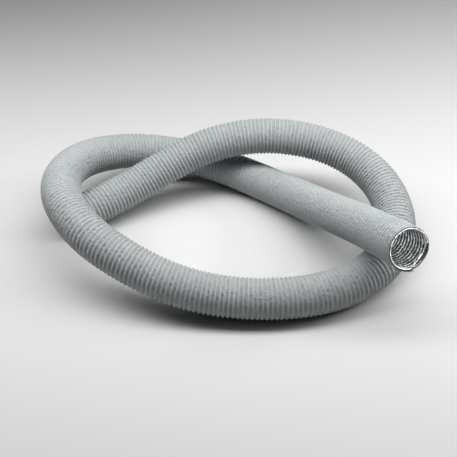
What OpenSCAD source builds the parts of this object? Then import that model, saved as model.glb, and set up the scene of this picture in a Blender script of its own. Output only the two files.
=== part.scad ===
// Flexible air duct: a hose with a coated outer cover, a spring wire and a foil
// liner, cut bare at both ends and lying on the floor in one loose overhand knot.
// The origin is on the floor, under the middle of the knot. Z points up.

/* [Duct] */
// Clear inside diameter, which is that of the spigot it pushes over
bore_d = 80; // [70:0.5:81]
// Length of the straight stretch at each cut end
end_length = 85; // [60:1:110]

/* [Wall] */
// Thickness of the foil liner
liner_t = 0.2; // [0.1:0.05:0.4]
// Thickness of the spring wire between the layers
wire_d = 0.8; // [0.6:0.05:1]
// Thickness of the outer cover between its ribs
cover_t = 0.3; // [0.25:0.05:0.5]
// Height of a rib over the cover
rib_h = 0.8; // [0.4:0.05:1]
// Clearance from the wire to the layer on each side of it
layer_gap = 0.2; // [0.2:0.01:0.3]

/* [Ribs] */
// Distance from rib to rib along the duct
rib_pitch = 21; // [16:0.5:60]
// Width of the flat band at the rim of each cut end
rim_land = 4; // [2:0.5:10]

/* [Loose strip end] */
// Width of the cover's strip where its end comes loose at the mouth
strip_w = 9; // [5:0.5:20]
// Thickness of that strip with its folded edge
strip_t = 0.8; // [0.4:0.1:1.2]
// Angle of the rim that it runs along
strip_angle = 40; // [20:1:80]
// Angle at which it leaves the rim
strip_lift = 4; // [0:0.5:8]

/* [Hidden] */

// Control points of the middle of the duct: x, y and the lift of its underside
// over the floor. The mouth end comes first.
route = [
    [310, -200, 121], [280, -120, 88], [240, -40, 53], [190, 45, 24],
    [125, 125, 4], [45, 195, 0], [-55, 245, 11], [-165, 260, 30],
    [-265, 240, 45], [-345, 180, 65], [-380, 100, 80], [-380, 10, 90],
    [-350, -70, 93], [-295, -145, 80], [-215, -195, 54], [-120, -235, 25],
    [-20, -250, 5], [85, -255, 0], [190, -240, 0], [275, -200, 3],
    [340, -145, 14], [375, -65, 29], [375, 30, 45], [340, 115, 67],
    [260, 175, 94], [155, 200, 110], [50, 205, 110], [-55, 190, 91],
    [-150, 155, 54], [-230, 110, 21], [-295, 65, 11]
];
// Points of the route where a flat side is down, which are those where the duct
// rests on the floor or passes over or under itself
level = [1, 5, 6, 11, 17, 20, 27];
// Depth of the flat that its weight presses into it where it rests
flat_depth = 0.5;

// Radii of the layers, from the inside out
bore_r = bore_d / 2;
liner_r = bore_r + liner_t;
wire_in_r = liner_r + layer_gap;
wire_out_r = wire_in_r + wire_d;
cover_in_r = wire_out_r + layer_gap;
valley_r = cover_in_r + cover_t;
crest_r = valley_r + rib_h;

// The curved run has eight sides
sides = 8;
side_angle = 360 / sides;
ring_count = 80;
// Steps of the wire round each turn in the straight ends
end_sides = 24;
// Distance from the wire's cut ends to the rims
wire_inset = 3;
// Clearance under the loose strip
strip_gap = 0.1;
// Direction in which the loose strip starts, from the bottom of the rim
strip_from = -32;
$fn = 48;

function unit(v) = v / norm(v);
function mix(a, b, f) = a * (1 - f) + b * f;

// Uniform cubic B-spline that starts and ends on its first and last points
control = [for (p = route) [p.x, p.y, crest_r + p.z - flat_depth]];
last = len(control) - 1;
function held(i) =
    i < 0 ? 2 * control[0] - control[1]
    : i > last ? 2 * control[last] - control[last - 1]
    : control[i];
function place_weights(f) =
    [pow(1 - f, 3), 3 * pow(f, 3) - 6 * pow(f, 2) + 4,
     -3 * pow(f, 3) + 3 * pow(f, 2) + 3 * f + 1, pow(f, 3)] / 6;
function way_weights(f) =
    [-pow(1 - f, 2), 3 * pow(f, 2) - 4 * f, -3 * pow(f, 2) + 2 * f + 1, pow(f, 2)] / 2;
function span(u) = min(floor(u), last - 1);
function blend(i, w) = held(i - 1) * w[0] + held(i) * w[1] + held(i + 1) * w[2] + held(i + 2) * w[3];
function middle(u) = blend(span(u), place_weights(u - span(u)));
function heading(u) = unit(blend(span(u), way_weights(u - span(u))));

// Length along the run, from fine steps
steps = 8;
fine = [for (k = [0 : steps * last]) middle(k / steps)];
function sums(v, k = 1, done = [0]) =
    k == len(v) ? done : sums(v, k + 1, concat(done, done[k - 1] + norm(v[k] - v[k - 1])));
lengths = sums(fine);
run_length = lengths[steps * last];
by_length = [for (k = [0 : steps * last]) [lengths[k], k / steps]];

// Stations: the mouth's rim, rings at even distances, and the far rim
mouth_way = -heading(0);
far_way = heading(last);
ring_places = [for (k = [0 : ring_count]) run_length * k / ring_count];
rings = [for (s = ring_places) lookup(s, by_length)];
places = concat([-end_length], ring_places, [run_length + end_length]);
spots = concat([control[0] + end_length * mouth_way],
               [for (u = rings) middle(u)],
               [control[last] + end_length * far_way]);
ways = concat([-mouth_way], [for (u = rings) heading(u)], [far_way]);
by_place = [for (k = [0 : len(places) - 1]) [places[k], k]];

// Each ring's up is carried on from the ring before it without a twist. It is
// then rolled evenly from one level point of the route to the next.
function level_up(way) = cross(way, unit(cross([0, 0, 1], way)));
function carried(k = 1, done = [level_up(ways[0])]) =
    k == len(ways) ? done
    : let (up = done[k - 1])
      carried(k + 1, concat(done, [unit(up - (up * ways[k]) * ways[k])]));
free_ups = carried();
function roll_to_level(k) =
    let (up = level_up(ways[k]), side = cross(free_ups[k], ways[k]))
    atan2(up * side, up * free_ups[k]);
function station_of(i) = round(lookup(lengths[steps * i], by_place));
rolls = [for (i = level) [station_of(i), roll_to_level(station_of(i))]];
ups = [for (k = [0 : len(ways) - 1])
    let (roll = lookup(k, rolls))
    cos(roll) * free_ups[k] + sin(roll) * cross(free_ups[k], ways[k])];
lefts = [for (k = [0 : len(ways) - 1]) cross(ups[k], ways[k])];

// A point of the wall, from its distance along the duct, its angle round it, its
// layer's radius and the radius of its corner. No layer sinks into the floor.
function at_station(k, angle, r) = spots[k] + r * (cos(angle) * lefts[k] + sin(angle) * ups[k]);
function off_floor(p, layer_r) = [p.x, p.y, max(p.z, crest_r - layer_r)];
function wall_point(s, angle, layer_r, corner_r) =
    let (q = lookup(s, by_place), k = min(floor(q), len(spots) - 2))
    off_floor(mix(at_station(k, angle, corner_r), at_station(k + 1, angle, corner_r), q - k), layer_r);
function corner(r, count) = r / cos(180 / count);
function corner_angle(j) = side_angle * (j + 0.5);
function run_point(s, j, r) = wall_point(s, corner_angle(j), r, corner(r, sides));

// Two triangles across four corners, turned round for an inside face
function patch(a, b, c, d, inside) = inside ? [[a, b, c], [a, c, d]] : [[a, c, b], [a, d, c]];

// Smooth layer of the run, with a row of points at each ring
function smooth_points(r) = [for (s = ring_places, j = [0 : sides - 1]) run_point(s, j, r)];
function smooth_faces(first, inside) =
    [for (k = [0 : ring_count - 1], j = [0 : sides - 1])
        let (n = (j + 1) % sides, a = first + k * sides)
        each patch(a + j, a + n, a + sides + n, a + sides + j, inside)];
function end_faces(outer, inner, inside) =
    [for (j = [0 : sides - 1])
        let (n = (j + 1) % sides)
        each patch(outer + j, inner + j, inner + n, outer + n, inside)];

// Ribbed layer of the run: rows of valleys and crests that wind round the duct,
// one pitch a turn, between a square row at each end
rib_count = max(4, round(run_length / rib_pitch));
pitch = run_length / rib_count;
rows = 2 * rib_count - 2;
function row_place(m, j) =
    m == 0 ? 0
    : m > rows ? run_length
    : (m / 2 + (j + 0.5) / sides) * pitch;
function row_r(m) = m % 2 == 0 && m > 0 && m < rows + 1 ? crest_r : valley_r;
function ribbed_points() =
    [for (m = [0 : rows + 1], j = [0 : sides - 1]) run_point(row_place(m, j), j, row_r(m))];
function at_row(m, j) = m * sides + j;
seam = sides - 1;
function ribbed_faces() = [
    for (m = [0 : rows], j = [0 : seam - 1])
        each patch(at_row(m, j), at_row(m, j + 1), at_row(m + 1, j + 1), at_row(m + 1, j), false),
    // the last column meets the first one a whole pitch, or two rows, further on
    [at_row(0, seam), at_row(1, 0), at_row(0, 0)],
    [at_row(0, seam), at_row(2, 0), at_row(1, 0)],
    [at_row(0, seam), at_row(3, 0), at_row(2, 0)],
    [at_row(0, seam), at_row(1, seam), at_row(3, 0)],
    for (m = [1 : rows - 3])
        each patch(at_row(m, seam), at_row(m + 2, 0), at_row(m + 3, 0), at_row(m + 1, seam), false),
    [at_row(rows - 2, seam), at_row(rows - 1, seam), at_row(rows, 0)],
    [at_row(rows - 1, seam), at_row(rows, seam), at_row(rows, 0)],
    [at_row(rows, seam), at_row(rows + 1, 0), at_row(rows, 0)],
    [at_row(rows, seam), at_row(rows + 1, seam), at_row(rows + 1, 0)]
];

// The wire is one helix under the crests, with three sides. Its stops are at the
// corners of the run and stand closer in the round ends. Each one has a place, an
// angle and how far out its foot and its top are stretched.
run_stretch = corner(1, sides);
end_stretch = corner(1, end_sides);
first_stop = ceil((wire_inset - end_length) / pitch * end_sides);
last_stop = floor((end_length - wire_inset) / pitch * end_sides);
function end_stop(start, w) =
    [start + w / end_sides * pitch, w * 360 / end_sides, end_stretch, 1];
wire_stops = [
    for (w = [first_stop : -1]) end_stop(0, w),
    [0, 0, 1, 1],
    for (w = [0 : sides * rib_count - 1])
        [(w + 0.5) / sides * pitch, corner_angle(w), run_stretch, run_stretch],
    [run_length, 0, 1, 1],
    for (w = [1 : last_stop]) end_stop(run_length, w)
];
function wire_points() =
    [for (stop = wire_stops) each [
        wall_point(stop[0] - wire_d / 2, stop[1], wire_in_r, wire_in_r * stop[2]),
        wall_point(stop[0] + wire_d / 2, stop[1], wire_in_r, wire_in_r * stop[2]),
        wall_point(stop[0], stop[1], wire_out_r, wire_out_r * stop[3])
    ]];
function wire_faces() =
    let (end = 3 * (len(wire_stops) - 1)) [
        [0, 1, 2],
        for (k = [0 : len(wire_stops) - 2], v = [0 : 2])
            let (n = (v + 1) % 3, a = 3 * k)
            each patch(a + v, a + n, a + 3 + n, a + 3 + v, false),
        [end, end + 2, end + 1]
    ];

// Ribs of a straight end are rings, as far apart as those of the run
end_ribs = max(1, round((end_length - rim_land) / pitch));
end_pitch = (end_length - rim_land) / end_ribs;
end_profile = [
    [cover_in_r, end_length], [cover_in_r, 0], [valley_r, 0],
    for (k = [1 : end_ribs])
        each [[crest_r, (k - 0.5) * end_pitch], [valley_r, k * end_pitch]],
    [crest_r, end_length - rim_land], [crest_r, end_length]
];

// Stands an end on the end of the run, with its rim in the given direction and
// its own X axis down
module at_end(start, way) {
    translate(start) rotate([0, acos(way.z), atan2(way.y, way.x)]) children();
}

module liner_sleeve() {
    difference() {
        cylinder(r = liner_r, h = end_length);
        translate([0, 0, -1]) cylinder(r = bore_r, h = end_length + 2);
    }
}

module cover_sleeve() {
    rotate_extrude() polygon(end_profile);
}

module mouth_liner() {
    color("silver") at_end(control[0], mouth_way) liner_sleeve();
}

module far_liner() {
    color("silver") at_end(control[last], far_way) liner_sleeve();
}

module mouth_cover() {
    color([0.66, 0.69, 0.69]) at_end(control[0], mouth_way) cover_sleeve();
}

module far_cover() {
    color([0.66, 0.69, 0.69]) at_end(control[last], far_way) cover_sleeve();
}

module run_liner() {
    inner = sides * (ring_count + 1);
    end = sides * ring_count;
    color("silver") polyhedron(
        concat(smooth_points(liner_r), smooth_points(bore_r)),
        concat(smooth_faces(0, false), smooth_faces(inner, true),
               end_faces(0, inner, false), end_faces(end, inner + end, true)),
        convexity = 12);
}

module run_cover() {
    inner = sides * (rows + 2);
    end = sides * (rows + 1);
    color([0.66, 0.69, 0.69]) polyhedron(
        concat(ribbed_points(), smooth_points(cover_in_r)),
        concat(ribbed_faces(), smooth_faces(inner, true),
               end_faces(0, inner, false), end_faces(end, inner + sides * ring_count, true)),
        convexity = 12);
}

module spring_wire() {
    color("dimgray") polyhedron(wire_points(), wire_faces(), convexity = 12);
}

// The end of the wound strip runs along the underside of the rim and leaves it
module strip_end() {
    strip_r = crest_r + strip_gap;
    start = strip_r * [cos(strip_from), sin(strip_from)];
    color([0.55, 0.58, 0.58]) at_end(control[0], mouth_way)
        translate(start) rotate(-strip_lift) translate(-start)
            translate([0, 0, end_length - strip_w]) rotate(strip_from)
                rotate_extrude(angle = strip_angle)
                    translate([strip_r, 0]) square([strip_t, strip_w]);
}

// Least gap between two stretches that cross, from one round wall to the other
points = concat([spots[0]], fine, [spots[len(spots) - 1]]);
apart = ceil(4 * crest_r / norm(fine[1] - fine[0]));
gaps = [for (i = [0 : len(points) - apart - 1], j = [i + apart : len(points) - 1])
    norm(points[i] - points[j]) - 2 * crest_r];
echo(duct_length = run_length + 2 * end_length, outside_d = 2 * crest_r, least_gap = min(gaps));

mouth_liner();
mouth_cover();
run_liner();
run_cover();
spring_wire();
far_liner();
far_cover();
strip_end();
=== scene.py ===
import math

import bpy
from mathutils import Matrix, Vector, noise


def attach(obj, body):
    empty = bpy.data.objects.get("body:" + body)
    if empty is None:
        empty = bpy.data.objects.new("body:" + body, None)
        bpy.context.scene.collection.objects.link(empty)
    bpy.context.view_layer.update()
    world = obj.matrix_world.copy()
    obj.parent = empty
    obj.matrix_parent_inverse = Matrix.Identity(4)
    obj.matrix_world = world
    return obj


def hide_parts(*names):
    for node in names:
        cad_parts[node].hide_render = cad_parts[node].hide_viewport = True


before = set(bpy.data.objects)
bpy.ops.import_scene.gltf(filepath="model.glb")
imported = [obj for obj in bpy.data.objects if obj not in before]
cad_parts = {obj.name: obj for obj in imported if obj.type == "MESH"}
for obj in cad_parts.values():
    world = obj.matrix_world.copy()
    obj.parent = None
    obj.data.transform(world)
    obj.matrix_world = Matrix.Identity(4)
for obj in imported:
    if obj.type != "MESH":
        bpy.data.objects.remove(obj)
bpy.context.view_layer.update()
millimetre = 0.001
scene = bpy.context.scene
scene.view_settings.view_transform = "Standard"


def addNode(tree, kind, settings=None, inputs=None):
    # an input may be a plain value, a socket, or a node, which gives its first output
    node = tree.nodes.new(kind)
    for name, value in (settings or {}).items():
        setattr(node, name, value)
    for key, value in (inputs or {}).items():
        if isinstance(value, bpy.types.Node):
            value = value.outputs[0]
        if isinstance(value, bpy.types.NodeSocket):
            tree.links.new(value, node.inputs[key])
        else:
            node.inputs[key].default_value = value
    return node


def linearColour(hexText, alpha=1.0):
    channels = [int(hexText[i:i + 2], 16) / 255 for i in (1, 3, 5)]
    return [c / 12.92 if c <= 0.04045 else ((c + 0.055) / 1.055) ** 2.4 for c in channels] + [alpha]


def link(name, data):
    thing = bpy.data.objects.new(name, data)
    bpy.context.collection.objects.link(thing)
    return thing


cameraView = {
    "target": (0.0002, 0.0311, 0.0),  # on the floor, in the middle of the picture
    "distance": 1.689,
    "elevation": 38.47,
    "lens": 56.1,
}


def makeCamera():
    tilt = math.radians(cameraView["elevation"])
    back = Vector((0, -math.cos(tilt), math.sin(tilt)))
    data = bpy.data.cameras.new("studioCamera")
    data.lens = cameraView["lens"]
    data.clip_start = 0.05
    camera = link("studioCamera", data)
    camera.location = Vector(cameraView["target"]) + back * cameraView["distance"]
    camera.rotation_euler = (-back).to_track_quat("-Z", "Y").to_euler()
    scene.camera = camera


makeCamera()
print("camera placed")


duct = {
    "outside": 0.085,     # across the solids' crests
    "ribPitch": 0.0093,   # one turn of the wire
    "straightEnd": 0.085,
    "restDepth": 0.0005,  # how far its weight flattens it on the floor
    "pathStep": 0.004,
}
# x, y and the lift of the underside over the floor, from the open mouth to the hidden end
routeControls = [
    (0.310, -0.200, 0.121), (0.280, -0.120, 0.088), (0.240, -0.040, 0.053), (0.190, 0.045, 0.024),
    (0.125, 0.125, 0.004), (0.045, 0.195, 0.000), (-0.055, 0.245, 0.011), (-0.165, 0.260, 0.030),
    (-0.265, 0.240, 0.045), (-0.345, 0.180, 0.065), (-0.380, 0.100, 0.080), (-0.380, 0.010, 0.090),
    (-0.350, -0.070, 0.093), (-0.295, -0.145, 0.080), (-0.215, -0.195, 0.054), (-0.120, -0.235, 0.025),
    (-0.020, -0.250, 0.005), (0.085, -0.255, 0.000), (0.190, -0.240, 0.000), (0.275, -0.200, 0.003),
    (0.340, -0.145, 0.014), (0.375, -0.065, 0.029), (0.375, 0.030, 0.045), (0.340, 0.115, 0.067),
    (0.260, 0.175, 0.094), (0.155, 0.200, 0.110), (0.050, 0.205, 0.110), (-0.055, 0.190, 0.091),
    (-0.150, 0.155, 0.054), (-0.230, 0.110, 0.021), (-0.295, 0.065, 0.011),
]


def makePath():
    # a uniform cubic B-spline through the first and last points, with straight ends
    height = duct["outside"] / 2 - duct["restDepth"]
    points = [Vector((x, y, height + lift)) for x, y, lift in routeControls]
    held = [2 * points[0] - points[1], *points, 2 * points[-1] - points[-2]]
    curved = []
    for i in range(len(points) - 1):
        a, b, c, d = held[i:i + 4]
        steps = max(1, round((c - b).length / duct["pathStep"]))
        for k in range(steps):
            f = k / steps
            curved.append((a * (1 - f) ** 3 + b * (3 * f ** 3 - 6 * f ** 2 + 4)
                           + c * (-3 * f ** 3 + 3 * f ** 2 + 3 * f + 1) + d * f ** 3) / 6)
    curved.append(points[-1])
    mouthWay = (points[0] - points[1]).normalized()
    farWay = (points[-1] - points[-2]).normalized()
    count = round(duct["straightEnd"] / duct["pathStep"])
    reach = [duct["straightEnd"] * k / count for k in range(1, count + 1)]
    return ([points[0] + mouthWay * r for r in reversed(reach)] + curved
            + [points[-1] + farWay * r for r in reach])


def makeRouteCurve(points):
    data = bpy.data.curves.new("route", "CURVE")
    data.dimensions = "3D"
    spline = data.splines.new("POLY")
    spline.points.add(len(points) - 1)
    for point, place in zip(spline.points, points):
        point.co = (*place, 1)
    return link("route", data)


path = makePath()
pathLength = sum((b - a).length for a, b in zip(path, path[1:]))
ribTurns = round(pathLength / duct["ribPitch"])
turnPitch = pathLength / ribTurns
print(f"route made: {pathLength:.3f} m, {ribTurns} turns of {turnPitch * 1000:.2f} mm")


def newTree(name, sizes):
    # sizes: input name -> socket kind
    tree = bpy.data.node_groups.new(name, "GeometryNodeTree")
    tree.interface.new_socket("Geometry", in_out="INPUT", socket_type="NodeSocketGeometry")
    for label, kind in sizes.items():
        tree.interface.new_socket(label, in_out="INPUT", socket_type=kind)
    tree.interface.new_socket("Geometry", in_out="OUTPUT", socket_type="NodeSocketGeometry")
    return tree, addNode(tree, "NodeGroupInput").outputs


def finishTree(tree, geometry, material):
    real = addNode(tree, "GeometryNodeRealizeInstances", None, {"Geometry": geometry})
    painted = addNode(tree, "GeometryNodeSetMaterial", None, {"Geometry": real, "Material": material})
    addNode(tree, "NodeGroupOutput", None, {"Geometry": painted})


def addRouteFrame(tree, curve, along):
    # the route's place and its directions to the left and up, at a length along it
    sample = addNode(tree, "GeometryNodeSampleCurve", {"mode": "LENGTH", "use_all_curves": True},
                     {"Curves": curve, "Length": along})
    left = addNode(tree, "ShaderNodeVectorMath", {"operation": "CROSS_PRODUCT"},
                   {0: (0, 0, 1), 1: sample.outputs["Tangent"]})
    left = addNode(tree, "ShaderNodeVectorMath", {"operation": "NORMALIZE"}, {0: left})
    up = addNode(tree, "ShaderNodeVectorMath", {"operation": "CROSS_PRODUCT"},
                 {0: sample.outputs["Tangent"], 1: left})
    return sample.outputs["Position"], left, up


def addOutward(tree, left, up, angle):
    cosine = addNode(tree, "ShaderNodeMath", {"operation": "COSINE"}, {0: angle})
    sine = addNode(tree, "ShaderNodeMath", {"operation": "SINE"}, {0: angle})
    across = addNode(tree, "ShaderNodeVectorMath", {"operation": "SCALE"}, {0: left, "Scale": cosine})
    upward = addNode(tree, "ShaderNodeVectorMath", {"operation": "SCALE"}, {0: up, "Scale": sine})
    return addNode(tree, "ShaderNodeVectorMath", {"operation": "ADD"}, {0: across, 1: upward})


def addHold(tree, value, size):
    # a length within the size of nought becomes nought, so that a row lands on the cut edge
    apart = addNode(tree, "ShaderNodeMath", {"operation": "ABSOLUTE"}, {0: value})
    kept = addNode(tree, "ShaderNodeMath", {"operation": "GREATER_THAN"}, {0: apart, 1: size})
    return addNode(tree, "ShaderNodeMath", {"operation": "MULTIPLY"}, {0: value, 1: kept})


def addAboveFloor(tree, spot, height):
    # a spot that lies lower is lifted to this height over the floor
    axes = addNode(tree, "ShaderNodeSeparateXYZ", None, {0: spot})
    lifted = addNode(tree, "ShaderNodeMath", {"operation": "MAXIMUM"}, {0: axes.outputs["Z"], 1: height})
    return addNode(tree, "ShaderNodeCombineXYZ", None,
                   {"X": axes.outputs["X"], "Y": axes.outputs["Y"], "Z": lifted})


def makeWallTree():
    # a wall that winds round the route: its rows follow the wire, so a rib's crest is one row
    tree, size = newTree("woundWall", {
        "Turns": "NodeSocketInt", "Rows": "NodeSocketInt", "Sides": "NodeSocketInt",
        "Pitch": "NodeSocketFloat", "Length": "NodeSocketFloat",
        "Valley Radius": "NodeSocketFloat", "Rib Height": "NodeSocketFloat",
        "Sharpness": "NodeSocketFloat", "Crowding": "NodeSocketFloat",
        "Wrinkle": "NodeSocketFloat", "Wrinkle Size": "NodeSocketFloat",
        "Edge Land": "NodeSocketFloat", "Edge Rise": "NodeSocketFloat",
        "Edge Turn": "NodeSocketFloat", "Edge Snap": "NodeSocketFloat", "Floor": "NodeSocketFloat",
        "Inward": "NodeSocketBool", "Material": "NodeSocketMaterial",
    })
    spare = 2.0  # turns of the grid past each cut end, which fold over it
    joinDistance = 2e-6  # closes the seam, and the rows that meet on a cut edge
    turns = addNode(tree, "ShaderNodeMath", {"operation": "ADD"}, {0: size["Turns"], 1: spare + 1})
    rowCount = addNode(tree, "ShaderNodeMath", {"operation": "MULTIPLY_ADD"},
                       {0: turns, 1: size["Rows"], 2: 1.0})
    columns = addNode(tree, "ShaderNodeMath", {"operation": "ADD"}, {0: size["Sides"], 1: 1.0})
    grid = addNode(tree, "GeometryNodeMeshGrid", None, {"Vertices X": rowCount, "Vertices Y": columns})
    index = addNode(tree, "GeometryNodeInputIndex")
    rowShare = addNode(tree, "ShaderNodeMath", {"operation": "DIVIDE"}, {0: index, 1: columns})
    row = addNode(tree, "ShaderNodeMath", {"operation": "FLOOR"}, {0: rowShare})
    column = addNode(tree, "ShaderNodeMath", {"operation": "MODULO"}, {0: index, 1: columns})
    turnShare = addNode(tree, "ShaderNodeMath", {"operation": "DIVIDE"}, {0: row, 1: size["Rows"]})
    roundShare = addNode(tree, "ShaderNodeMath", {"operation": "DIVIDE"}, {0: column, 1: size["Sides"]})

    # rows crowd together at the crests
    wave = addNode(tree, "ShaderNodeMath", {"operation": "MULTIPLY"}, {0: turnShare, 1: math.tau})
    wave = addNode(tree, "ShaderNodeMath", {"operation": "SINE"}, {0: wave})
    crowd = addNode(tree, "ShaderNodeMath", {"operation": "DIVIDE"}, {0: size["Crowding"], 1: -math.tau})
    turn = addNode(tree, "ShaderNodeMath", {"operation": "MULTIPLY_ADD"}, {0: wave, 1: crowd, 2: turnShare})

    # length along the route, held between the two cut ends
    skewed = addNode(tree, "ShaderNodeMath", {"operation": "ADD"}, {0: turn, 1: roundShare})
    skewed = addNode(tree, "ShaderNodeMath", {"operation": "SUBTRACT"}, {0: skewed, 1: spare})
    free = addNode(tree, "ShaderNodeMath", {"operation": "MULTIPLY"}, {0: skewed, 1: size["Pitch"]})
    free = addHold(tree, free, size["Edge Snap"])
    ahead = addNode(tree, "ShaderNodeMath", {"operation": "SUBTRACT"}, {0: size["Length"], 1: free})
    ahead = addHold(tree, ahead, size["Edge Snap"])
    free = addNode(tree, "ShaderNodeMath", {"operation": "SUBTRACT"}, {0: size["Length"], 1: ahead})
    along = addNode(tree, "ShaderNodeClamp", None, {"Value": free, "Min": 0.0, "Max": size["Length"]})
    over = addNode(tree, "ShaderNodeMath", {"operation": "SUBTRACT"}, {0: free, 1: along})
    over = addNode(tree, "ShaderNodeMath", {"operation": "ABSOLUTE"}, {0: over})
    over = addNode(tree, "ShaderNodeMath", {"operation": "MINIMUM"}, {0: over, 1: size["Edge Turn"]})
    angle = addNode(tree, "ShaderNodeMath", {"operation": "MULTIPLY"}, {0: roundShare, 1: math.tau})
    centre, side, up = addRouteFrame(tree, size["Geometry"], along)
    outward = addOutward(tree, side, up, angle)

    # rib: 1 over the wire, 0 halfway between two turns, with a round crest
    turnsDone = addNode(tree, "ShaderNodeMath", {"operation": "DIVIDE"}, {0: along, 1: size["Pitch"]})
    phase = addNode(tree, "ShaderNodeMath", {"operation": "SUBTRACT"}, {0: turnsDone, 1: roundShare})
    fromCrest = addNode(tree, "ShaderNodeMath", {"operation": "PINGPONG"}, {0: phase, 1: 0.5})
    nearCrest = addNode(tree, "ShaderNodeMath", {"operation": "MULTIPLY_ADD"},
                        {0: fromCrest, 1: -2.0, 2: 1.0})
    nearCrest = addNode(tree, "ShaderNodeMath", {"operation": "MAXIMUM"}, {0: nearCrest, 1: 0.0})
    rib = addNode(tree, "ShaderNodeMath", {"operation": "POWER"}, {0: nearCrest, 1: size["Sharpness"]})
    rib = addNode(tree, "ShaderNodeMath", {"operation": "MULTIPLY"}, {0: rib, 1: math.pi / 2})
    rib = addNode(tree, "ShaderNodeMath", {"operation": "SINE"}, {0: rib})

    # the last few millimetres at each cut end rise to an even rim
    toFar = addNode(tree, "ShaderNodeMath", {"operation": "SUBTRACT"}, {0: size["Length"], 1: along})
    toEnd = addNode(tree, "ShaderNodeMath", {"operation": "MINIMUM"}, {0: along, 1: toFar})
    atRim = addNode(tree, "ShaderNodeMapRange", {"interpolation_type": "SMOOTHSTEP"},
                    {"Value": toEnd, "From Min": 0.0, "From Max": size["Edge Land"],
                     "To Min": 1.0, "To Max": 0.0})
    toRim = addNode(tree, "ShaderNodeMath", {"operation": "SUBTRACT"}, {0: size["Edge Rise"], 1: rib})
    shape = addNode(tree, "ShaderNodeMath", {"operation": "MULTIPLY_ADD"}, {0: toRim, 1: atRim, 2: rib})

    # wrinkles, which are flat over the wire
    place = addNode(tree, "ShaderNodeVectorMath", {"operation": "SCALE"},
                    {0: outward, "Scale": size["Valley Radius"]})
    place = addNode(tree, "ShaderNodeVectorMath", {"operation": "ADD"}, {0: centre, 1: place})
    noiseScale = addNode(tree, "ShaderNodeMath", {"operation": "DIVIDE"}, {0: 1.0, 1: size["Wrinkle Size"]})
    rough = addNode(tree, "ShaderNodeTexNoise", None,
                    {"Vector": place, "Scale": noiseScale, "Detail": 2.0, "Roughness": 0.6})
    wrinkle = addNode(tree, "ShaderNodeMath", {"operation": "SUBTRACT"}, {0: rough, 1: 0.5})
    loose = addNode(tree, "ShaderNodeMath", {"operation": "SUBTRACT"}, {0: 1.0, 1: shape})
    wrinkle = addNode(tree, "ShaderNodeMath", {"operation": "MULTIPLY"}, {0: wrinkle, 1: loose})
    wrinkle = addNode(tree, "ShaderNodeMath", {"operation": "MULTIPLY"}, {0: wrinkle, 1: size["Wrinkle"]})

    radius = addNode(tree, "ShaderNodeMath", {"operation": "MULTIPLY_ADD"},
                     {0: shape, 1: size["Rib Height"], 2: size["Valley Radius"]})
    radius = addNode(tree, "ShaderNodeMath", {"operation": "ADD"}, {0: radius, 1: wrinkle})
    radius = addNode(tree, "ShaderNodeMath", {"operation": "SUBTRACT"}, {0: radius, 1: over})
    out = addNode(tree, "ShaderNodeVectorMath", {"operation": "SCALE"}, {0: outward, "Scale": radius})
    spot = addNode(tree, "ShaderNodeVectorMath", {"operation": "ADD"}, {0: centre, 1: out})
    spot = addAboveFloor(tree, spot, size["Floor"])

    # the cut-edge mask, for the painted shade on the cut edge: 1 on the cut edge, and falling to 0 a little
    # way back from it
    fromEnd = addNode(tree, "ShaderNodeMath", {"operation": "SUBTRACT"}, {0: size["Edge Turn"], 1: toEnd})
    shadedEdgeShare = addNode(tree, "ShaderNodeMath", {"operation": "MAXIMUM"}, {0: over, 1: fromEnd})
    shadedEdgeShare = addNode(tree, "ShaderNodeMath", {"operation": "DIVIDE"}, {0: shadedEdgeShare, 1: size["Edge Turn"]})

    # the material finds its place on the winding from the phase's sine and cosine
    wound = addNode(tree, "ShaderNodeMath", {"operation": "MULTIPLY"}, {0: phase, 1: math.tau})
    wall = grid
    for label, value in {
        "rib": shape,
        "shadedCutEdge": shadedEdgeShare,
        "windSine": addNode(tree, "ShaderNodeMath", {"operation": "SINE"}, {0: wound}),
        "windCosine": addNode(tree, "ShaderNodeMath", {"operation": "COSINE"}, {0: wound}),
    }.items():
        wall = addNode(tree, "GeometryNodeStoreNamedAttribute", {"data_type": "FLOAT", "domain": "POINT"},
                       {"Geometry": wall, "Name": label, "Value": value})
    wall = addNode(tree, "GeometryNodeSetPosition", None, {"Geometry": wall, "Position": spot})
    wall = addNode(tree, "GeometryNodeMergeByDistance", None, {"Geometry": wall, "Distance": joinDistance})
    wall = addNode(tree, "GeometryNodeFlipFaces", None, {"Mesh": wall, "Selection": size["Inward"]})
    wall = addNode(tree, "GeometryNodeSetShadeSmooth", None, {"Geometry": wall})
    finishTree(tree, wall, size["Material"])
    return tree


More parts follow.
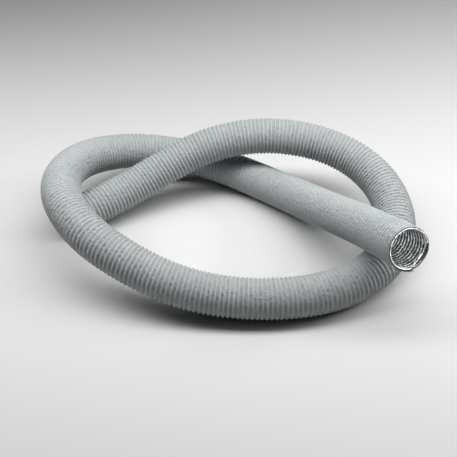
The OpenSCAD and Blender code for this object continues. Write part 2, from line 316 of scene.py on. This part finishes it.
def makeWireTree():
    # one round wire that winds round the route
    tree, size = newTree("woundWire", {
        "Turns": "NodeSocketInt", "Steps": "NodeSocketInt", "Pitch": "NodeSocketFloat",
        "Length": "NodeSocketFloat", "Radius": "NodeSocketFloat", "Thickness": "NodeSocketFloat",
        "Sides": "NodeSocketInt", "Inset": "NodeSocketFloat", "Floor": "NodeSocketFloat",
        "Material": "NodeSocketMaterial",
    })
    count = addNode(tree, "ShaderNodeMath", {"operation": "MULTIPLY"}, {0: size["Turns"], 1: size["Steps"]})
    line = addNode(tree, "GeometryNodeCurvePrimitiveLine")
    line = addNode(tree, "GeometryNodeResampleCurve", None, {"Curve": line, "Count": count})
    share = addNode(tree, "GeometryNodeSplineParameter")
    twice = addNode(tree, "ShaderNodeMath", {"operation": "MULTIPLY"}, {0: size["Inset"], 1: 2.0})
    wound = addNode(tree, "ShaderNodeMath", {"operation": "SUBTRACT"}, {0: size["Length"], 1: twice})
    along = addNode(tree, "ShaderNodeMath", {"operation": "MULTIPLY_ADD"},
                    {0: share, 1: wound, 2: size["Inset"]})
    turns = addNode(tree, "ShaderNodeMath", {"operation": "DIVIDE"}, {0: along, 1: size["Pitch"]})
    angle = addNode(tree, "ShaderNodeMath", {"operation": "MULTIPLY"}, {0: turns, 1: math.tau})
    centre, side, up = addRouteFrame(tree, size["Geometry"], along)
    outward = addOutward(tree, side, up, angle)
    out = addNode(tree, "ShaderNodeVectorMath", {"operation": "SCALE"}, {0: outward, "Scale": size["Radius"]})
    spot = addNode(tree, "ShaderNodeVectorMath", {"operation": "ADD"}, {0: centre, 1: out})
    spot = addAboveFloor(tree, spot, size["Floor"])
    line = addNode(tree, "GeometryNodeSetPosition", None, {"Geometry": line, "Position": spot})
    half = addNode(tree, "ShaderNodeMath", {"operation": "DIVIDE"}, {0: size["Thickness"], 1: 2.0})
    section = addNode(tree, "GeometryNodeCurvePrimitiveCircle", None,
                      {"Resolution": size["Sides"], "Radius": half})
    wire = addNode(tree, "GeometryNodeCurveToMesh", None,
                   {"Curve": line, "Profile Curve": section, "Fill Caps": True})
    wire = addNode(tree, "GeometryNodeSetShadeSmooth", None, {"Geometry": wire})
    finishTree(tree, wire, size["Material"])
    return tree


def bakeNodes(name, source, tree, values):
    # runs the tree on a copy of the route and keeps the plain mesh that it makes
    carrier = source.copy()
    carrier.data = source.data.copy()
    bpy.context.collection.objects.link(carrier)
    modifier = carrier.modifiers.new("nodes", "NODES")
    modifier.node_group = tree
    for item in tree.interface.items_tree:
        if item.in_out == "INPUT" and item.name in values:
            modifier[item.identifier] = values[item.name]
    graph = bpy.context.evaluated_depsgraph_get()
    mesh = bpy.data.meshes.new_from_object(carrier.evaluated_get(graph), depsgraph=graph)
    mesh.name = name
    bpy.data.objects.remove(carrier)
    return link(name, mesh)


def newMaterial(name):
    material = bpy.data.materials.new(name)
    material.use_nodes = True
    material.node_tree.nodes.clear()
    return material, material.node_tree


fabricLook = {
    "tones": ("#9A9E9F", "#A5A9AA"),
    "dentShade": "#7C8182",
    "crests": "#BEC2C3",
    "lapLine": "#9A9FA0",
    "shadedCutEdge": "#45484A",
    "grainSize": 1.2,    # in millimetres; about twice the real weave, which would be too fine to see
    "dentSize": 6.0,
    "patchSize": 45.0,
    "bumpDepth": 7.0,    # deeper than the real dents, which would hardly show at this distance
    "dentShadeShare": 0.15,  # how much of each darker or paler colour is mixed in: the painted shade in the dents, the painted highlight on the crests and the lap line
    "crestShare": 0.5,
    "lapShare": 0.18,
    "lapPhase": 1.0,     # from the crest to the lap, in radians of one rib's pitch
}


def makeCoatedFabric():
    # glass cloth with a matt silicone coat, wound wet: cool grey and even, with a fine grain,
    # small dents between the ribs, painted shade in the deepest dents and on the cut edge, and a painted
    # highlight on the crests
    material, tree = newMaterial("coatedGlassFabric")
    place = addNode(tree, "ShaderNodeTexCoord").outputs["Object"]
    rib = addNode(tree, "ShaderNodeAttribute", {"attribute_name": "rib"}).outputs["Fac"]
    sine = addNode(tree, "ShaderNodeAttribute", {"attribute_name": "windSine"}).outputs["Fac"]
    cosine = addNode(tree, "ShaderNodeAttribute", {"attribute_name": "windCosine"}).outputs["Fac"]
    grain = addNode(tree, "ShaderNodeTexNoise", None,
                    {"Vector": place, "Scale": 1 / (fabricLook["grainSize"] * millimetre),
                     "Detail": 2.0, "Roughness": 0.6})
    dent = addNode(tree, "ShaderNodeTexNoise", None,
                   {"Vector": place, "Scale": 1 / (fabricLook["dentSize"] * millimetre),
                    "Detail": 2.0, "Roughness": 0.6})
    patch = addNode(tree, "ShaderNodeTexNoise", None,
                    {"Vector": place, "Scale": 1 / (fabricLook["patchSize"] * millimetre), "Detail": 2.0})
    darker, paler = fabricLook["tones"]
    tone = addNode(tree, "ShaderNodeMix", {"data_type": "RGBA"},
                   {"Factor": patch, 6: linearColour(darker), 7: linearColour(paler)})
    # painted shade: the deepest dents are darkened in colour, standing in for the shadow in them
    dentShadeMask = addNode(tree, "ShaderNodeMapRange", None,
                    {"Value": dent, "From Min": 0.34, "From Max": 0.46,
                     "To Min": fabricLook["dentShadeShare"], "To Max": 0.0})
    tone = addNode(tree, "ShaderNodeMix", {"data_type": "RGBA", "blend_type": "MULTIPLY"},
                   {"Factor": dentShadeMask, 6: tone.outputs[2], 7: linearColour(fabricLook["dentShade"])})
    # painted highlight: the crests are paler in colour, standing in for the light they catch
    crestHighlightMask = addNode(tree, "ShaderNodeMapRange", None,
                     {"Value": rib, "From Min": 0.7, "From Max": 0.97,
                      "To Min": 0.0, "To Max": fabricLook["crestShare"]})
    tone = addNode(tree, "ShaderNodeMix", {"data_type": "RGBA"},
                   {"Factor": crestHighlightMask, 6: tone.outputs[2], 7: linearColour(fabricLook["crests"])})
    # the lap of the wound strip is a darker line beside each rib, on its side towards the mouth
    phase = addNode(tree, "ShaderNodeMath", {"operation": "ARCTAN2"}, {0: sine, 1: cosine})
    lap = addNode(tree, "ShaderNodeMath", {"operation": "ADD"}, {0: phase, 1: fabricLook["lapPhase"]})
    lap = addNode(tree, "ShaderNodeMath", {"operation": "ABSOLUTE"}, {0: lap})
    lap = addNode(tree, "ShaderNodeMapRange", None,
                  {"Value": lap, "From Min": 0.1, "From Max": 0.6,
                   "To Min": fabricLook["lapShare"], "To Max": 0.0})
    tone = addNode(tree, "ShaderNodeMix", {"data_type": "RGBA", "blend_type": "MULTIPLY"},
                   {"Factor": lap, 6: tone.outputs[2], 7: linearColour(fabricLook["lapLine"])})
    # painted shade: the cut edge is darkened in colour, standing in for the shadow on it
    cutEdgeShadeMask = addNode(tree, "ShaderNodeAttribute", {"attribute_name": "shadedCutEdge"}).outputs["Fac"]
    cutEdgeShadeMask = addNode(tree, "ShaderNodeMapRange", None, {"Value": cutEdgeShadeMask, "From Min": 0.1, "From Max": 0.5})
    tone = addNode(tree, "ShaderNodeMix", {"data_type": "RGBA"},
                   {"Factor": cutEdgeShadeMask, 6: tone.outputs[2], 7: linearColour(fabricLook["shadedCutEdge"])})
    # the cloth is dented where it is loose, and pulled smooth over the wire
    loose = addNode(tree, "ShaderNodeMapRange", None,
                    {"Value": rib, "From Min": 0.1, "From Max": 0.8, "To Min": 1.0, "To Max": 0.1})
    dents = addNode(tree, "ShaderNodeMath", {"operation": "SUBTRACT"}, {0: dent, 1: 0.5})
    dents = addNode(tree, "ShaderNodeMath", {"operation": "MULTIPLY"}, {0: dents, 1: loose})
    height = addNode(tree, "ShaderNodeMath", {"operation": "MULTIPLY_ADD"}, {0: grain, 1: 0.1, 2: dents})
    bump = addNode(tree, "ShaderNodeBump", None,
                   {"Height": height, "Distance": fabricLook["bumpDepth"] * millimetre, "Strength": 1.0})
    shader = addNode(tree, "ShaderNodeBsdfPrincipled", None,
                     {"Base Color": tone.outputs[2], "Roughness": 0.62, "IOR": 1.43, "Normal": bump})
    addNode(tree, "ShaderNodeOutputMaterial", None, {"Surface": shader})
    return material


clothLook = {
    "shadedThreads": "#6A6E70",
    "gaps": "#3C3F40",
    "weaveSize": 1.5,  # in millimetres, and coarser than the real weave
    "bumpDepth": 0.5,
}


def makeShadedBareCloth():
    # the same glass cloth on its uncoated side, dull, with the weave just showing; its dark grey is painted
    # shade
    material, tree = newMaterial("shadedBareGlassCloth")
    place = addNode(tree, "ShaderNodeTexCoord").outputs["Object"]
    weave = addNode(tree, "ShaderNodeTexNoise", None,
                    {"Vector": place, "Scale": 1 / (clothLook["weaveSize"] * millimetre),
                     "Detail": 2.0, "Roughness": 0.6})
    tone = addNode(tree, "ShaderNodeMix", {"data_type": "RGBA"},
                   {"Factor": weave, 6: linearColour(clothLook["gaps"]),
                    7: linearColour(clothLook["shadedThreads"])})
    bump = addNode(tree, "ShaderNodeBump", None,
                   {"Height": weave, "Distance": clothLook["bumpDepth"] * millimetre, "Strength": 0.8})
    shader = addNode(tree, "ShaderNodeBsdfPrincipled", None,
                     {"Base Color": tone.outputs[2], "Roughness": 0.8, "IOR": 1.5, "Normal": bump})
    addNode(tree, "ShaderNodeOutputMaterial", None, {"Surface": shader})
    return material


foilLook = {
    "metal": "#E0E2E3",
    "grooveShade": "#323436",
    "crinkleSize": 3.0,  # in millimetres
    "bumpDepth": 3.0,
    "raggedness": 1.6,   # how far the crinkles break the edges of the grooves
}


def makeFoil():
    # aluminium foil laminate, crinkled by winding: bright, with small sharp facets
    material, tree = newMaterial("crinkledAluminiumFoil")
    place = addNode(tree, "ShaderNodeTexCoord").outputs["Object"]
    crinkle = addNode(tree, "ShaderNodeTexNoise", None,
                      {"Vector": place, "Scale": 1 / (foilLook["crinkleSize"] * millimetre),
                       "Detail": 3.0, "Roughness": 0.6})
    bump = addNode(tree, "ShaderNodeBump", None,
                   {"Height": crinkle, "Distance": foilLook["bumpDepth"] * millimetre, "Strength": 0.9})
    # painted shade: the grooves over the wire are darkened in colour, standing in for the shade in them
    rib = addNode(tree, "ShaderNodeAttribute", {"attribute_name": "rib"}).outputs["Fac"]
    ragged = addNode(tree, "ShaderNodeMath", {"operation": "MULTIPLY_ADD"},
                     {0: crinkle, 1: foilLook["raggedness"], 2: rib})
    grooveShadeMask = addNode(tree, "ShaderNodeMapRange", None, {"Value": ragged, "From Min": 1.1, "From Max": 1.4})
    tone = addNode(tree, "ShaderNodeMix", {"data_type": "RGBA"},
                   {"Factor": grooveShadeMask, 6: linearColour(foilLook["metal"]),
                    7: linearColour(foilLook["grooveShade"])})
    shader = addNode(tree, "ShaderNodeBsdfPrincipled", None,
                     {"Base Color": tone.outputs[2], "Metallic": 1.0, "Roughness": 0.5, "Normal": bump})
    addNode(tree, "ShaderNodeOutputMaterial", None, {"Surface": shader})
    return material


steelLook = {
    "metal": "#8E8F90",
    "lineSize": 0.8,  # in millimetres
    "roughness": (0.28, 0.5),
}


def makeDrawnSteel():
    # spring steel wire, drawn and left bare: grey, with fine lines from the die
    material, tree = newMaterial("drawnSpringSteel")
    place = addNode(tree, "ShaderNodeTexCoord").outputs["Object"]
    line = addNode(tree, "ShaderNodeTexNoise", None,
                   {"Vector": place, "Scale": 1 / (steelLook["lineSize"] * millimetre)})
    smooth, dull = steelLook["roughness"]
    rough = addNode(tree, "ShaderNodeMapRange", None, {"Value": line, "To Min": smooth, "To Max": dull})
    shader = addNode(tree, "ShaderNodeBsdfPrincipled", None,
                     {"Base Color": linearColour(steelLook["metal"]), "Metallic": 1.0, "Roughness": rough})
    addNode(tree, "ShaderNodeOutputMaterial", None, {"Surface": shader})
    return material


# a rib of the wall stands outwards, so from inside it is a groove of the liner
cover = {
    "radius": 0.0402,     # between the ribs
    "ribHeight": 0.0035,
    "ribSharpness": 2.2,  # a higher value makes narrower ribs
    "rowsPerRib": 6,
    "rowCrowding": 0.5,   # how far the rows move together at the crests
    "sides": 48,
    "wrinkle": 0.0022,    # from the lowest to the highest, between the ribs
    "wrinkleSize": 0.008,
    "rimLand": 0.004,     # over this length the ribs run out into an even rim
    "rimRise": 0.72,      # the rim's height, as a share of the ribs' own
    "rimTurn": 0.0022,    # how far the wall turns in over the cut edge
    "rimSnap": 0.0006,    # a row that comes this near to the cut edge is moved onto it
    "floorGap": 0.0,
}
liner = {
    "radius": 0.0394,
    "ribHeight": 0.0026,
    "ribSharpness": 1.7,
    "rowsPerRib": 6,
    "rowCrowding": 0.3,
    "sides": 46,
    "wrinkle": 0.0018,
    "wrinkleSize": 0.006,
    "rimLand": 0.002,
    "rimRise": 0.5,
    "rimTurn": 0.0,
    "rimSnap": 0.0006,
    "floorGap": 0.0016,   # keeps it inside the cover where the duct is pressed flat
}
wire = {
    "coilRadius": 0.04255,
    "thickness": 0.0008,
    "sides": 4,
    "stepsPerTurn": 40,
    "endInset": 0.003,    # its ends stop this far short of the rims
    "floorGap": 0.0010,
}


def makeWall(name, sizes, inward, material):
    return bakeNodes(name, routeCurve, wallTree, {
        "Turns": ribTurns, "Pitch": turnPitch, "Length": pathLength,
        "Rows": sizes["rowsPerRib"], "Sides": sizes["sides"], "Crowding": sizes["rowCrowding"],
        "Valley Radius": sizes["radius"], "Rib Height": sizes["ribHeight"],
        "Sharpness": sizes["ribSharpness"],
        "Wrinkle": sizes["wrinkle"], "Wrinkle Size": sizes["wrinkleSize"],
        "Edge Land": sizes["rimLand"], "Edge Rise": sizes["rimRise"],
        "Edge Turn": sizes["rimTurn"], "Edge Snap": sizes["rimSnap"],
        "Floor": sizes["floorGap"], "Inward": inward, "Material": material,
    })


fabric = makeCoatedFabric()
shadedBareCloth = makeShadedBareCloth()
foil = makeFoil()
steel = makeDrawnSteel()
routeCurve = makeRouteCurve(path)
wallTree = makeWallTree()
wireTree = makeWireTree()

coverSkin = makeWall("coverSkin", cover, False, fabric)
linerSkin = makeWall("linerSkin", liner, True, foil)
springWire = bakeNodes("springWire", routeCurve, wireTree, {
    "Turns": ribTurns, "Steps": wire["stepsPerTurn"], "Pitch": turnPitch, "Length": pathLength,
    "Radius": wire["coilRadius"], "Thickness": wire["thickness"], "Sides": wire["sides"],
    "Inset": wire["endInset"], "Floor": wire["floorGap"], "Material": steel,
})
bpy.data.objects.remove(routeCurve)
print("cover, liner and wire wound")


def rimFrame(atMouth):
    # a rim's centre, with its own X down, its Y to the side and its Z out of the duct
    tip, inner = (path[0], path[1]) if atMouth else (path[-1], path[-2])
    out = (tip - inner).normalized()
    side = Vector((0, 0, 1)).cross(out).normalized()
    return Matrix((side.cross(out), side, out)).transposed().to_4x4(), tip


def makeLoft(name, rings, material, closed):
    # a skin through rings of points, joined end to end or capped
    count = len(rings[0])
    points = [point for ring in rings for point in ring]
    last = len(rings) if closed else len(rings) - 1
    faces = []
    for k in range(last):
        a, b = k * count, (k + 1) % len(rings) * count
        faces += [(a + j, a + (j + 1) % count, b + (j + 1) % count, b + j) for j in range(count)]
    if not closed:
        faces += [tuple(reversed(range(count))), tuple(range(len(points) - count, len(points)))]
    mesh = bpy.data.meshes.new(name)
    mesh.from_pydata(points, [], faces)
    mesh.materials.append(material)
    mesh.shade_smooth()
    return link(name, mesh)


rimFold = {
    "radius": 0.0402,     # of the circle that the fold runs along
    "thickness": 0.0019,
    "proud": 0.0005,      # how far it stands out of the cut edge
    "crinkle": 0.0006,
    "coarse": 220,        # crinkles in one metre
    "fine": 600,
    "steps": 200,
    "sides": 10,
    "lapFrom": 2,         # degrees round the rim, from its lowest point to the right
    "lapTo": 94,
    "lapDepth": 0.0095,   # how far the foil is torn back between the two
    "lapEase": 0.6,       # a lower value tears it back more evenly
    "lapInset": 0.0018,   # how far the torn edge lies inside the circle
    "lapSwell": 0.5,      # how much thicker the torn edge is
    "lapCrinkle": 4,      # how much more it is crinkled
}


def lapShare(angle):
    # 0 outside the stretch where the foil is torn back, 1 in its middle
    share = (math.degrees(angle) - rimFold["lapFrom"]) / (rimFold["lapTo"] - rimFold["lapFrom"])
    return math.sin(math.pi * share) ** rimFold["lapEase"] if 0 < share < 1 else 0.0


def makeRimFold(name, atMouth):
    # the foil is folded over the last turn of the wire, which makes a round, crinkled edge
    turned, centre = rimFrame(atMouth)
    coarse, fine = rimFold["coarse"], rimFold["fine"]
    elsewhere = centre * 10  # so that the two rims are crinkled differently
    rings = []
    for k in range(rimFold["steps"]):
        angle = math.tau * k / rimFold["steps"]
        torn = lapShare(angle) if atMouth else 0.0
        half = rimFold["thickness"] / 2 * (1 + rimFold["lapSwell"] * torn)
        outward = Vector((math.cos(angle), math.sin(angle), 0))
        base = outward * (rimFold["radius"] - rimFold["lapInset"] * torn)
        base.z = rimFold["proud"] - half - rimFold["lapDepth"] * torn
        crinkled = 1 + rimFold["lapCrinkle"] * torn
        ring = []
        for j in range(rimFold["sides"]):
            bend = math.tau * j / rimFold["sides"]
            way = outward * math.cos(bend) + Vector((0, 0, math.sin(bend)))
            spot = base + way * half
            dent = noise.noise(spot * coarse + elsewhere) + 0.5 * noise.noise(spot * fine)
            spot = turned @ (spot + way * rimFold["crinkle"] * crinkled * dent) + centre
            spot.z = max(spot.z, 0.0)
            ring.append(spot)
        rings.append(ring)
    return makeLoft(name, rings, foil, True)


bareLap = {
    "radius": 0.0394,
    "thickness": 0.0005,
    "proud": 0.0002,      # how far it stands out of the cut edge
    "behind": 0.0012,     # how far it goes on behind the torn foil
    # from the rim inwards: height over the radius, and share of the depth
    "section": [(0.0008, 0.0), (0.0002, 0.3), (-0.0004, 0.5), (0.0002, 0.7), (0.0002, 1.0)],
    "steps": 40,
}


def makeLastLap():
    # where the foil is torn back, the uncoated inner face of the cover's last lap shows, dark grey with
    # painted shade
    turned, centre = rimFrame(True)
    lapTurn = rimFold["lapTo"] - rimFold["lapFrom"]
    rings = []
    for k in range(bareLap["steps"] + 1):
        angle = math.radians(rimFold["lapFrom"] + lapTurn * k / bareLap["steps"])
        outward = Vector((math.cos(angle), math.sin(angle), 0))
        depth = rimFold["lapDepth"] * lapShare(angle) + bareLap["behind"]
        inner = [(bareLap["radius"] + height, -depth * share if share else bareLap["proud"])
                 for height, share in bareLap["section"]]
        outer = [(r + bareLap["thickness"], z) for r, z in reversed(inner)]
        rings.append([turned @ (outward * r + Vector((0, 0, z))) + centre for r, z in inner + outer])
    return makeLoft("lastLap", rings, shadedBareCloth, False)


looseStrip = {
    "start": -36,         # degrees round the rim from its lowest point
    "turn": 46,           # degrees that it runs along the rim
    "width": 0.0085,
    "thickness": 0.0012,
    "lift": 0.0040,       # how far its free end stands off the rim
    "wave": 0.0003,       # how far its free end is wavy
    "frill": 0.0006,      # how far its edges wander
    "seatRadius": 0.0433,
    "setBack": 0.0004,    # from the cut edge
    "steps": 28,
    "stepsAcross": 8,
}


def makeStripEnd():
    # the end of the cover's strip, with its edge folded, comes loose under the mouth
    turned, centre = rimFrame(True)
    wide, thick = looseStrip["width"], looseStrip["thickness"]
    across = looseStrip["stepsAcross"]
    rings = []
    for k in range(looseStrip["steps"] + 1):
        share = k / looseStrip["steps"]
        angle = math.radians(looseStrip["start"] + looseStrip["turn"] * share)
        seat = looseStrip["seatRadius"] + looseStrip["lift"] * share ** 2
        outline = []
        for sign in (1, -1):
            for j in range(across + 1):
                f = (j / across - 0.5) * sign
                edge = math.sqrt(max(0.0, 1 - (2 * f) ** 4))
                wave = looseStrip["wave"] * math.sin(9 * share + 5 * f) * share
                frill = looseStrip["frill"] * noise.noise(Vector((0, f * 3, k * 0.9)))
                depth = -looseStrip["setBack"] - wide / 2 + f * wide + frill
                outline.append((seat + wave + thick / 2 * (1 + sign * edge), depth))
        ring = []
        for r, z in outline:
            ring.append(turned @ Vector((r * math.cos(angle), r * math.sin(angle), z)) + centre)
        rings.append(ring)
    return makeLoft("stripEnd", rings, fabric, False)


mouthFold = makeRimFold("mouthFold", True)
farFold = makeRimFold("farFold", False)
lastLap = makeLastLap()
stripEnd = makeStripEnd()
print("rims folded")

pieces = (coverSkin, linerSkin, springWire, mouthFold, farFold, lastLap, stripEnd)
for piece in pieces:
    print(piece.name, sum(len(face.vertices) - 2 for face in piece.data.polygons), "triangles")


studio = {
    "floorColour": "#C6C6C6",
    "floorSize": 14.0,
    "skyColour": "#B4B4B4",
    "glowFrom": 1.9,  # the floor runs into the sky between these two distances
    "glowTo": 3.2,
    "softboxes": {  # all face straight down
        "strip": {"place": (0.0, 0.0, 1.3), "size": (3.6, 0.4), "power": 41},
        "broad": {"place": (0.8, 0.6, 1.3), "size": (2.0, 2.4), "power": 11},
        "rightBox": {"place": (2.4, 0.2, 1.3), "size": (0.6, 0.8), "power": 38},
        "leftBox": {"place": (-1.6, 0.4, 1.3), "size": (0.5, 0.5), "power": 6},
    },
    # faces the mouth, and reaches only the foil
    "fill": {"place": (0.15, -1.40, 1.05), "size": (0.5, 0.5), "power": 41},
}


def makeFloor():
    # matt backdrop paper, a pale neutral grey
    half = studio["floorSize"] / 2
    mesh = bpy.data.meshes.new("floor")
    corners = [(-half, -half, 0), (half, -half, 0), (half, half, 0), (-half, half, 0)]
    mesh.from_pydata(corners, [], [(0, 1, 2, 3)])
    material, tree = newMaterial("palePaper")
    place = addNode(tree, "ShaderNodeTexCoord").outputs["Object"]
    away = addNode(tree, "ShaderNodeVectorMath", {"operation": "LENGTH"}, {0: place}).outputs["Value"]
    glow = addNode(tree, "ShaderNodeMapRange", {"interpolation_type": "SMOOTHSTEP"},
                   {"Value": away, "From Min": studio["glowFrom"], "From Max": studio["glowTo"]})
    shader = addNode(tree, "ShaderNodeBsdfPrincipled", None,
                     {"Base Color": linearColour(studio["floorColour"]), "Roughness": 0.9,
                      "Specular IOR Level": 0.2,
                      "Emission Color": linearColour(studio["skyColour"]), "Emission Strength": glow})
    addNode(tree, "ShaderNodeOutputMaterial", None, {"Surface": shader})
    mesh.materials.append(material)
    link("floor", mesh)


def makeSoftbox(name, box):
    data = bpy.data.lights.new(name, "AREA")
    data.shape = "RECTANGLE"
    data.size, data.size_y = box["size"]
    data.energy = box["power"]
    light = link(name, data)
    light.location = box["place"]
    return light


def makeFill():
    # a card in front that lets the open mouth be seen into
    card = makeSoftbox("fill", studio["fill"])
    card.rotation_euler = (path[0] - card.location).to_track_quat("-Z", "Y").to_euler()
    foilPieces = bpy.data.collections.new("foilPieces")
    for piece in (linerSkin, mouthFold, farFold):
        foilPieces.objects.link(piece)
    card.light_linking.receiver_collection = foilPieces


def makeSky():
    world = bpy.data.worlds.new("studioSky")
    world.use_nodes = True
    sky = world.node_tree.nodes["Background"]
    sky.inputs["Color"].default_value = linearColour(studio["skyColour"])
    scene.world = world
    # it is only looked at, and lights nothing
    seen = world.cycles_visibility
    seen.diffuse = seen.glossy = seen.transmission = seen.scatter = False


makeFloor()
for boxName, boxValues in studio["softboxes"].items():
    makeSoftbox(boxName, boxValues)
makeFill()
makeSky()
print("studio lit")

for piece in pieces:
    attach(piece, "root")
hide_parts("mouth_cover", "run_cover", "far_cover")
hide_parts("mouth_liner", "run_liner", "far_liner")
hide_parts("spring_wire")
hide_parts("strip_end")
